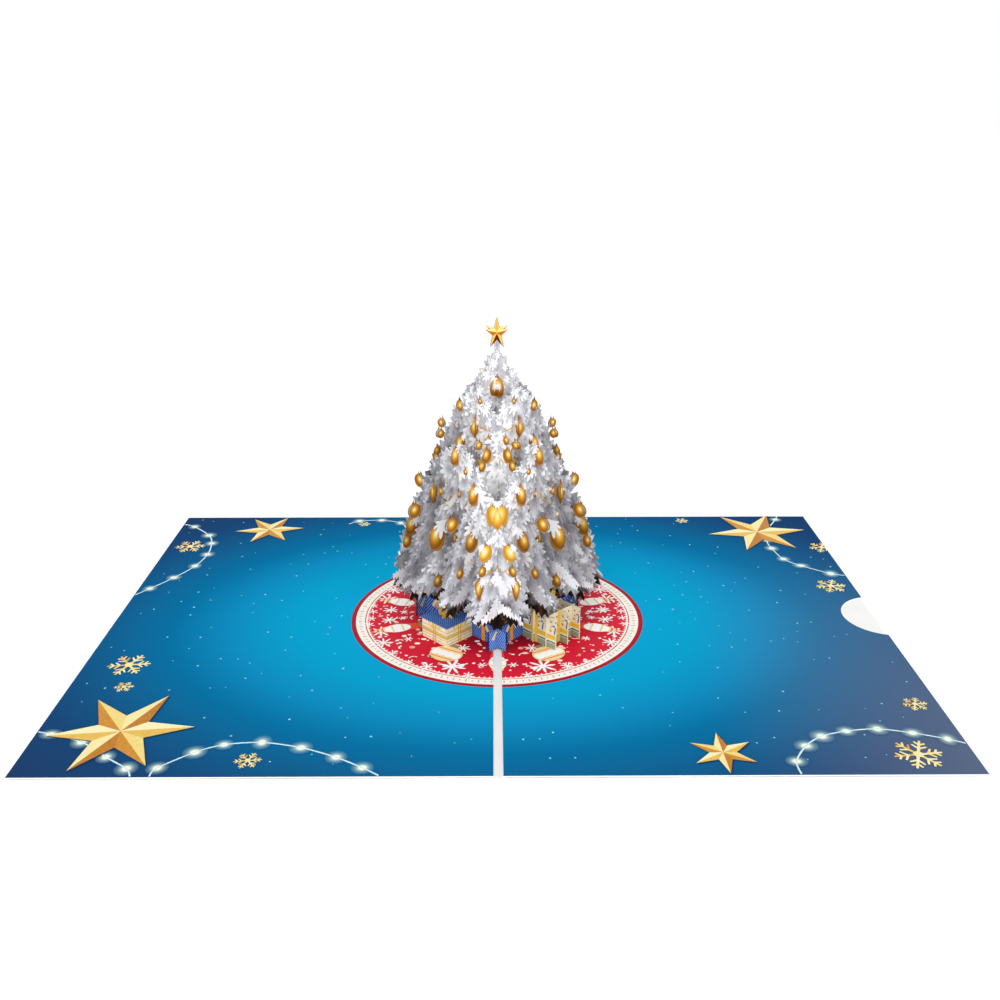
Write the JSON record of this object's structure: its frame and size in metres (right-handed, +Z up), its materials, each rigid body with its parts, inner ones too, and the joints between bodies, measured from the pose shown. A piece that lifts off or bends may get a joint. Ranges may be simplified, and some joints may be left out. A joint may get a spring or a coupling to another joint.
{
  "type": "pop up card",
  "caption": "Open pop-up card: folded cover with two printed liners, a sliced paper fir tree and gifts on the fold, and a note card that slides out of a pocket.",
  "frame": {"origin": "middle of the open cover's underside, on the fold", "axes": "+X to the panel with the thumb notch, +Y to the back edge along the fold, +Z up out of the open card"},
  "size_m": [0.254, 0.1778, 0.1018],
  "materials": {
    "white_card": "matte",
    "printed_liner": "satin",
    "note_paper": "matte",
    "tape": "matte",
    "fir_print": "matte",
    "cream_gift": "matte",
    "blue_gift": "matte",
    "gold_print": "matte"
  },
  "bodies": {
    "card": {"cover": "white_card", "left_liner": "printed_liner", "right_liner": "printed_liner", "left_tape_spine": "tape", "left_tape_front": "tape", "left_tape_back": "tape", "left_tape_outer": "tape", "right_tape_spine": "tape", "right_tape_front": "tape", "right_tape_back": "tape", "tree_slice_a1": "fir_print", "tree_slice_a2": "fir_print", "tree_slice_a3": "fir_print", "tree_slice_a4": "fir_print", "tree_slice_a5": "fir_print", "tree_slice_b1": "fir_print", "tree_slice_b2": "fir_print", "tree_slice_b3": "fir_print", "tree_slice_b4": "fir_print", "tree_slice_b5": "fir_print", "gift_box_walls": "cream_gift", "gift_box_lid": "blue_gift", "gift_box_bow_a": "gold_print", "gift_box_bow_b": "gold_print", "gift_crate_a1": "cream_gift", "gift_crate_a2": "cream_gift", "gift_crate_b1": "cream_gift", "gift_crate_b2": "cream_gift", "gift_crate_b3": "cream_gift"},
    "note_card": {"note_card": "note_paper"}
  },
  "joints": [
    {"name": "note_slide", "type": "slide", "parent": "card", "child": "note_card", "axis": [1, 0, 0], "range_m": [0, 0.09]}
  ]
}
